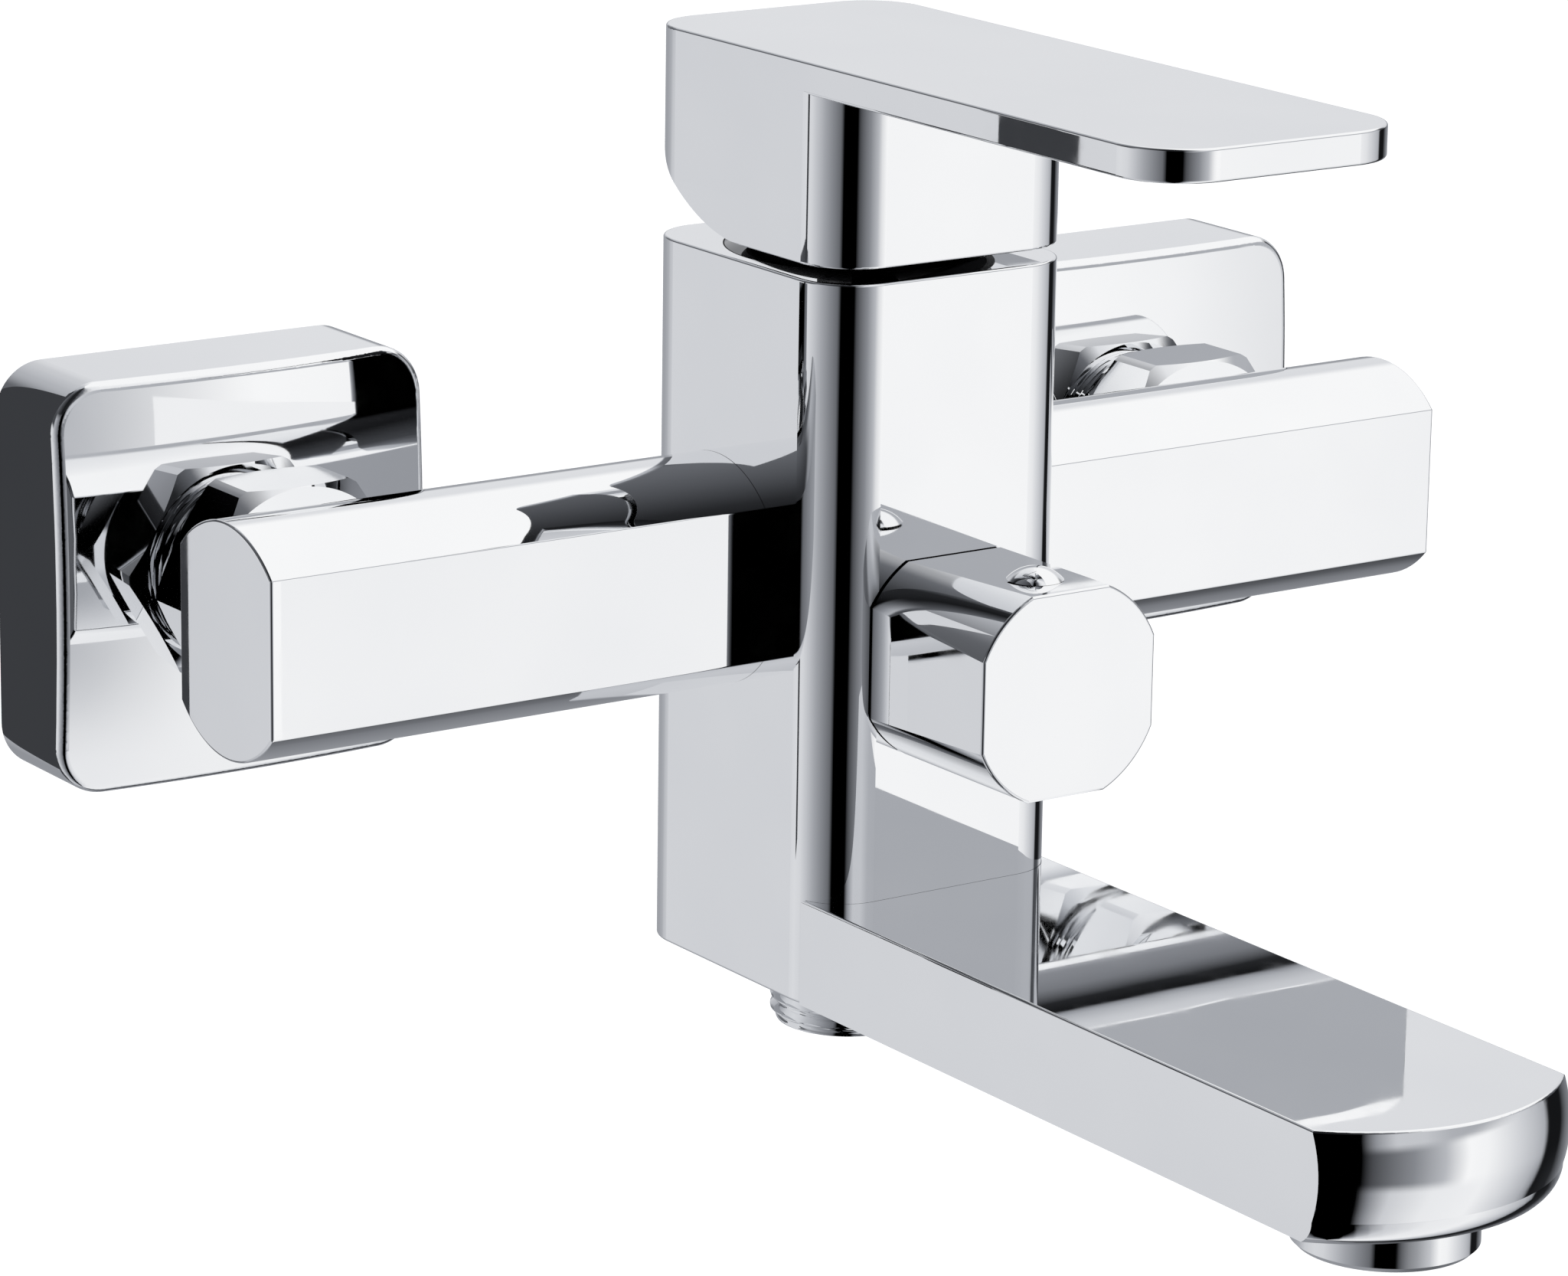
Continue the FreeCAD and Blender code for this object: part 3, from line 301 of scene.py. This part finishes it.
def make_cards():
    """Cards for the left arm, the column's left side and the left rosette's side."""
    body_low, body_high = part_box("body")
    arm_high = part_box("arm_left")[1]
    spout_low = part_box("spout")[0]
    flange_low, flange_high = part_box("wall_flange_left")

    side, front, back = body_low.x - ARM_CARD_GAP, spout_low.y, body_low.y + ARM_CARD_REACH
    low, high = spout_low.z, arm_high.z
    make_card("arm_card", [(side, front, low), (side, front, high),
                           (side, back, high), (side, back, low)], ARM_CARD_LEVEL)

    side = flange_high.x + COLUMN_CARD_GAP
    front, back = arm_high.y, flange_high.y + COLUMN_CARD_REACH
    low, high = spout_low.z - COLUMN_CARD_DROP, body_high.z
    make_card("column_card", [(side, front, low), (side, back, low),
                              (side, back, high), (side, front, high)], COLUMN_CARD_LEVEL)

    right, depth = flange_low.x - ROSETTE_CARD_GAP, ROSETTE_CARD_DEPTH
    left = right - ROSETTE_CARD_WIDTH
    low, high = flange_low.z - ROSETTE_CARD_MARGIN, flange_high.z + ROSETTE_CARD_MARGIN
    make_card("rosette_card", [(left, depth, low), (right, depth, low),
                               (right, depth, high), (left, depth, high)], ROSETTE_CARD_LEVEL)


# ---------------------------------------------------------------- threads

PIPE_PITCH = 1.814 * MM
PIPE_DEPTH = 1.16 * MM
THREAD_STEPS = 96
LEVELS_PER_TURN = 14
THREAD_LEAD = 0.9 * MM
# Over half a pitch the drop climbs by the slope to the peak. Cut off at 0 and 1, it leaves flats.
DROP_PEAK = 1.15
DROP_SLOPE = 1.3
BORE_RADIUS = 7 * MM
NECK_RADIUS = 9.5 * MM
NECK_STEP = 0.05 * MM
BOSS_RADIUS = 11.98 * MM
WEB_FRONT = -6.5 * MM
WEB_BACK = -1 * MM
WEB_STEP = 0.4 * MM
WEB_OVERLAP = 0.2 * MM
SHARP_ANGLE = 28


def thread_drop(turns):
    """How far below the crest a pipe thread is, from 0 to 1, with flat crests and roots."""
    return min(1.0, max(0.0, DROP_PEAK - DROP_SLOPE * abs(2 * (turns % 1.0) - 1)))


def levels_between(start, stop):
    """Even steps from start to stop, with LEVELS_PER_TURN of them in each pitch."""
    count = math.ceil(abs(stop - start) / PIPE_PITCH * LEVELS_PER_TURN)
    return [start + (stop - start) * i / count for i in range(count + 1)]


def thread_profile(start, stop, radius):
    """A threaded tube's closed outline: outer points (level, radius, threaded), then the bore."""
    points = []
    for level in levels_between(start, stop):
        from_end = min(abs(level - start), abs(stop - level))
        chamfer = max(0.0, THREAD_LEAD - from_end)
        points.append((level, radius - chamfer, min(1.0, from_end / THREAD_LEAD)))
    return points + [(stop, BORE_RADIUS, 0.0), (start, BORE_RADIUS, 0.0)]


def sweep(mesh, rings):
    """Join closed rings of equal length into a closed tube of quads."""
    made = [[mesh.verts.new(point) for point in ring] for ring in rings]
    for ring, following in zip(made, made[1:] + made[:1]):
        count = len(ring)
        for i in range(count):
            j = (i + 1) % count
            mesh.faces.new((ring[i], ring[j], following[j], following[i]))


def threaded_tube(mesh, profile, place):
    """A profile turned about its axis, with the thread's groove cut as a helix."""
    rings = []
    for step in range(THREAD_STEPS):
        angle = 2 * math.pi * step / THREAD_STEPS
        ring = []
        for level, radius, threaded in profile:
            drop = thread_drop(level / PIPE_PITCH + step / THREAD_STEPS)
            ring.append(place(angle, radius - PIPE_DEPTH * drop * threaded, level))
        rings.append(ring)
    sweep(mesh, rings)


def finish_piece(name, mesh, replaced, material):
    """Turn a mesh into a piece on the mixer's body that stands for a CAD node."""
    bmesh.ops.recalc_face_normals(mesh, faces=mesh.faces)
    data = bpy.data.meshes.new(name)
    mesh.to_mesh(data)
    mesh.free()
    data.shade_smooth()
    data.set_sharp_from_angle(angle=math.radians(SHARP_ANGLE))
    piece = bpy.data.objects.new(name, data)
    scene.collection.objects.link(piece)
    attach(piece, "mixer_body")
    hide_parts(replaced)
    data.materials.append(material)


def make_outlet_thread(material):
    """The shower outlet: a thread under the column, and a plain neck that goes up into it."""
    low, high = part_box("shower_outlet")
    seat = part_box("body")[0].z - NECK_STEP
    side, depth = (low.x + high.x) / 2, (low.y + high.y) / 2

    def place(angle, reach, level):
        return (side + reach * math.cos(angle), depth + reach * math.sin(angle), level)

    outline = thread_profile(low.z, seat, (high.x - low.x) / 2)
    outer, foot_bore = outline[:-2], outline[-1]
    neck = [(seat, NECK_RADIUS - NECK_STEP, 0.0), (high.z, NECK_RADIUS, 0.0)]
    mesh = bmesh.new()
    threaded_tube(mesh, outer + neck + [(high.z, BORE_RADIUS, 0.0), foot_bore], place)
    finish_piece("outlet_thread", mesh, "shower_outlet", material)


def make_connector_threads(side_name, material):
    """An eccentric connector: a large thread, a web, and behind it a smaller thread set higher."""
    node = f"eccentric_connector_{side_name}"
    low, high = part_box(node)
    side, union_radius = (low.x + high.x) / 2, (high.x - low.x) / 2
    outlet_low, outlet_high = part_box("shower_outlet")
    wall_radius = (outlet_high.x - outlet_low.x) / 2
    lift = high.z - BOSS_RADIUS

    def around(height):
        def place(angle, reach, level):
            return (side + reach * math.cos(angle), level, height + reach * math.sin(angle))
        return place

    def web_point(angle, low_radius, high_radius, level):
        """The point that lies furthest this way, on whichever of the two circles has it."""
        upper = lift * math.sin(angle) + high_radius > low_radius
        return around(lift if upper else 0.0)(angle, high_radius if upper else low_radius, level)

    mesh = bmesh.new()
    front = thread_profile(low.y, WEB_FRONT + WEB_OVERLAP, union_radius)
    threaded_tube(mesh, front, around(0.0))
    back = thread_profile(high.y, WEB_BACK - WEB_OVERLAP, wall_radius)
    threaded_tube(mesh, back, around(lift))
    rings = []
    for step in range(THREAD_STEPS):
        angle = 2 * math.pi * (step + 0.5) / THREAD_STEPS
        outer = [web_point(angle, union_radius - WEB_STEP, BOSS_RADIUS, level)
                 for level in (WEB_FRONT, WEB_BACK)]
        inner = [web_point(angle, BORE_RADIUS, BORE_RADIUS, level)
                 for level in (WEB_BACK, WEB_FRONT)]
        rings.append(outer + inner)
    sweep(mesh, rings)
    finish_piece(f"connector_threads_{side_name}", mesh, node, material)


# ---------------------------------------------------------------- materials

# Where a noise's low and high values are taken, for tints and for roughness.
NOISE_SPAN = (0.3, 0.7)
CHROME_TINTS = ((0.94, 0.945, 0.953), (0.965, 0.968, 0.972))
CHROME_FILM_SPAN = (0.35, 0.75)
CHROME_ROUGHNESS = (0.012, 0.045)
HAIRLINE_HEIGHT = 0.0012
# Share of its tint that the cartridge cover's chrome keeps: painted shade for the narrow gap it
# sits in under the lever.
COVER_SHADE_FACTOR = 0.3
# Near-black tint for the cartridge well and the lever's pocket: painted shade in the recess. The
# roughness below is the duller finish there.
WELL_SHADE_TINT = (0.02, 0.02, 0.022, 1.0)
WELL_ROUGHNESS = 0.55
WELL_CLEARANCE = 0.1 * MM
WELL_EDGE = 0.1 * MM
WELL_FOOT = (0.0, 5 * MM)
POCKET_HEIGHT = 8 * MM
POCKET_EDGE = 1 * MM
# Slot, dark and light tint, lowest and highest roughness.
FINE_GRAINED = (
    ("cartridge_plastic", (0.74, 0.74, 0.71), (0.82, 0.82, 0.80), 0.38, 0.5),
    ("insert_plastic", (0.60, 0.61, 0.62), (0.70, 0.71, 0.72), 0.4, 0.55),
    ("plug_plastic", (0.24, 0.25, 0.27), (0.30, 0.31, 0.33), 0.14, 0.22),
    ("disc_ceramic", (0.84, 0.84, 0.81), (0.90, 0.90, 0.88), 0.1, 0.18),
)


def start_material(name):
    """A new material, with its nodes, a point's place in metres, and its shader."""
    material = bpy.data.materials.new(name)
    material.use_nodes = True
    t = Nodes(material.node_tree)
    place = t.add("ShaderNodeTexCoord").outputs["Object"]
    shader = t.add("ShaderNodeBsdfPrincipled")
    t.show(shader)
    return material, t, place, shader


def noise(t, place, scale, detail=2.0):
    """Noise with about this many features to the metre."""
    node = t.feed(t.add("ShaderNodeTexNoise"), Vector=place, Scale=scale, Detail=detail)
    return node.outputs["Fac"]


def tint_by(t, value, dark, light):
    """A colour from dark to light, by a noise."""
    start, stop = NOISE_SPAN
    return t.ramp(value, [(start, dark), (stop, light)])


def roughness_by(t, value, low, high):
    """A roughness from low to high, by a noise."""
    return t.window(value, *NOISE_SPAN, low, high)


def bump(t, shader, height, strength, distance):
    """Give a shader a bump from a height."""
    node = t.feed(t.add("ShaderNodeBump"), Height=height, Strength=strength, Distance=distance)
    t.join(node.outputs["Normal"], shader.inputs["Normal"])


def chrome(name, painted_shade_factor=1.0, recess=None):
    """Polished chrome plate: the faint swell that buffing leaves, hairlines and uneven gloss.

    A recess is where the plate is thin and dull, inside a pocket, and painted shade turns it near
    black.
    """
    material, t, place, shader = start_material(name)
    # A factor below 1 darkens the whole tint: painted shade.
    dark, light = (tuple(channel * painted_shade_factor for channel in tint) for tint in CHROME_TINTS)
    tint = tint_by(t, noise(t, place, scale=45.0), dark, light)
    film = noise(t, place, scale=160.0, detail=4.0)
    roughness = t.window(film, *CHROME_FILM_SPAN, *CHROME_ROUGHNESS)
    if recess:
        # Painted shade: inside the recess the tint blends to near black, and the roughness rises to
        # the duller finish.
        inside = recess(t, *t.split(place))
        tint = t.blend_colour(inside, tint, WELL_SHADE_TINT)
        roughness = t.blend(inside, roughness, WELL_ROUGHNESS)
    t.feed(shader, Base_Color=tint, Metallic=1.0, Roughness=roughness)
    swell = noise(t, place, scale=55.0, detail=1.0)
    hairlines = noise(t, place, scale=2500.0, detail=3.0)
    height = t.maths("ADD", swell, t.maths("MULTIPLY", hairlines, HAIRLINE_HEIGHT))
    bump(t, shader, height, strength=0.25, distance=0.06 * MM)
    return material


def painted_well_shade(t, x, y, z):
    """1 inside the column's cartridge well and the lever's pocket over it, where the chrome takes
    painted shade, and 0 elsewhere.
    """
    low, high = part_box("cartridge_nut")
    wall = (high.x - low.x) / 2 + WELL_CLEARANCE
    depth = t.maths("SUBTRACT", y, (low.y + high.y) / 2)
    square = t.maths("ADD", t.maths("MULTIPLY", x, x), t.maths("MULTIPLY", depth, depth))
    radius = t.maths("SQRT", square)
    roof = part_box("lever_handle")[0].z + POCKET_HEIGHT
    return t.product(t.window(radius, wall + WELL_EDGE, wall), t.window(z, *WELL_FOOT),
                     t.window(z, roof + POCKET_EDGE, roof))


def machined_brass():
    """Turned brass: a warm stain and the fine rings of the cutter."""
    material, t, place, shader = start_material("machined_brass")
    stain = noise(t, place, scale=220.0, detail=5.0)
    t.feed(shader, Metallic=1.0,
           Base_Color=tint_by(t, stain, (0.60, 0.42, 0.17), (0.78, 0.60, 0.30)),
           Roughness=roughness_by(t, stain, 0.22, 0.38))
    rings = t.feed(t.add("ShaderNodeTexWave", wave_type="RINGS", rings_direction="SPHERICAL"),
                   Vector=place, Scale=900.0, Distortion=0.6)
    bump(t, shader, rings.outputs["Fac"], strength=0.2, distance=0.03 * MM)
    return material


def machined_steel():
    """Drawn steel: fine lines."""
    material, t, place, shader = start_material("machined_steel")
    stretch = t.feed(t.add("ShaderNodeMapping"), Vector=place, Scale=(60.0, 1.0, 1.0))
    lines = noise(t, stretch.outputs[0], scale=300.0, detail=3.0)
    t.feed(shader, Metallic=1.0,
           Base_Color=tint_by(t, lines, (0.5, 0.5, 0.51), (0.66, 0.66, 0.67)),
           Roughness=roughness_by(t, lines, 0.24, 0.36))
    bump(t, shader, lines, strength=0.2, distance=0.02 * MM)
    return material


def seal_rubber():
    """Black moulded rubber with a fine grain."""
    material, t, place, shader = start_material("seal_rubber")
    bloom = noise(t, place, scale=300.0)
    grain = noise(t, place, scale=2200.0, detail=4.0)
    t.feed(shader, Base_Color=tint_by(t, bloom, (0.012, 0.012, 0.012), (0.03, 0.03, 0.031)),
           Roughness=roughness_by(t, grain, 0.5, 0.68))
    bump(t, shader, grain, strength=0.3, distance=0.05 * MM)
    return material


def fine_grained(slot, dark, light, low, high):
    """Moulded plastic or fired ceramic with a fine grain."""
    material, t, place, shader = start_material(slot)
    clouding = noise(t, place, scale=120.0, detail=3.0)
    grain = noise(t, place, scale=1500.0, detail=3.0)
    t.feed(shader, Base_Color=tint_by(t, clouding, dark, light),
           Roughness=roughness_by(t, grain, low, high))
    bump(t, shader, grain, strength=0.15, distance=0.04 * MM)
    return material


def make_materials():
    """One procedural material for each of the record's slots, and variants for single nodes."""
    made = {
        "chrome": chrome("polished_chrome"),
        # The column's and the lever's chrome carry painted shade inside the well and the pocket.
        "body": chrome("column_chrome", recess=painted_well_shade),
        "lever_handle": chrome("lever_chrome", recess=painted_well_shade),
        # The cover's chrome is darkened with painted shade.
        "cartridge_cover": chrome("cover_chrome_painted_shade", painted_shade_factor=COVER_SHADE_FACTOR),
        "brass": machined_brass(),
        "steel": machined_steel(),
        "seal_rubber": seal_rubber(),
    }
    for row in FINE_GRAINED:
        made[row[0]] = fine_grained(*row)
    return made


def slot_of(node_name):
    """The record's slot that a CAD node's imported material is named after."""
    return nodes[node_name].data.materials[0].name.split(".")[0]


def dress(materials):
    """Give every CAD node its own variant's procedural material, or its slot's."""
    for name, node in nodes.items():
        node.data.materials[0] = materials.get(name) or materials[slot_of(name)]


make_camera()
make_world()
make_floor()
make_cards()
scene.view_settings.view_transform = "Standard"
materials = make_materials()
dress(materials)
make_outlet_thread(materials["chrome"])
for side_name in ("left", "right"):
    make_connector_threads(side_name, materials["chrome"])
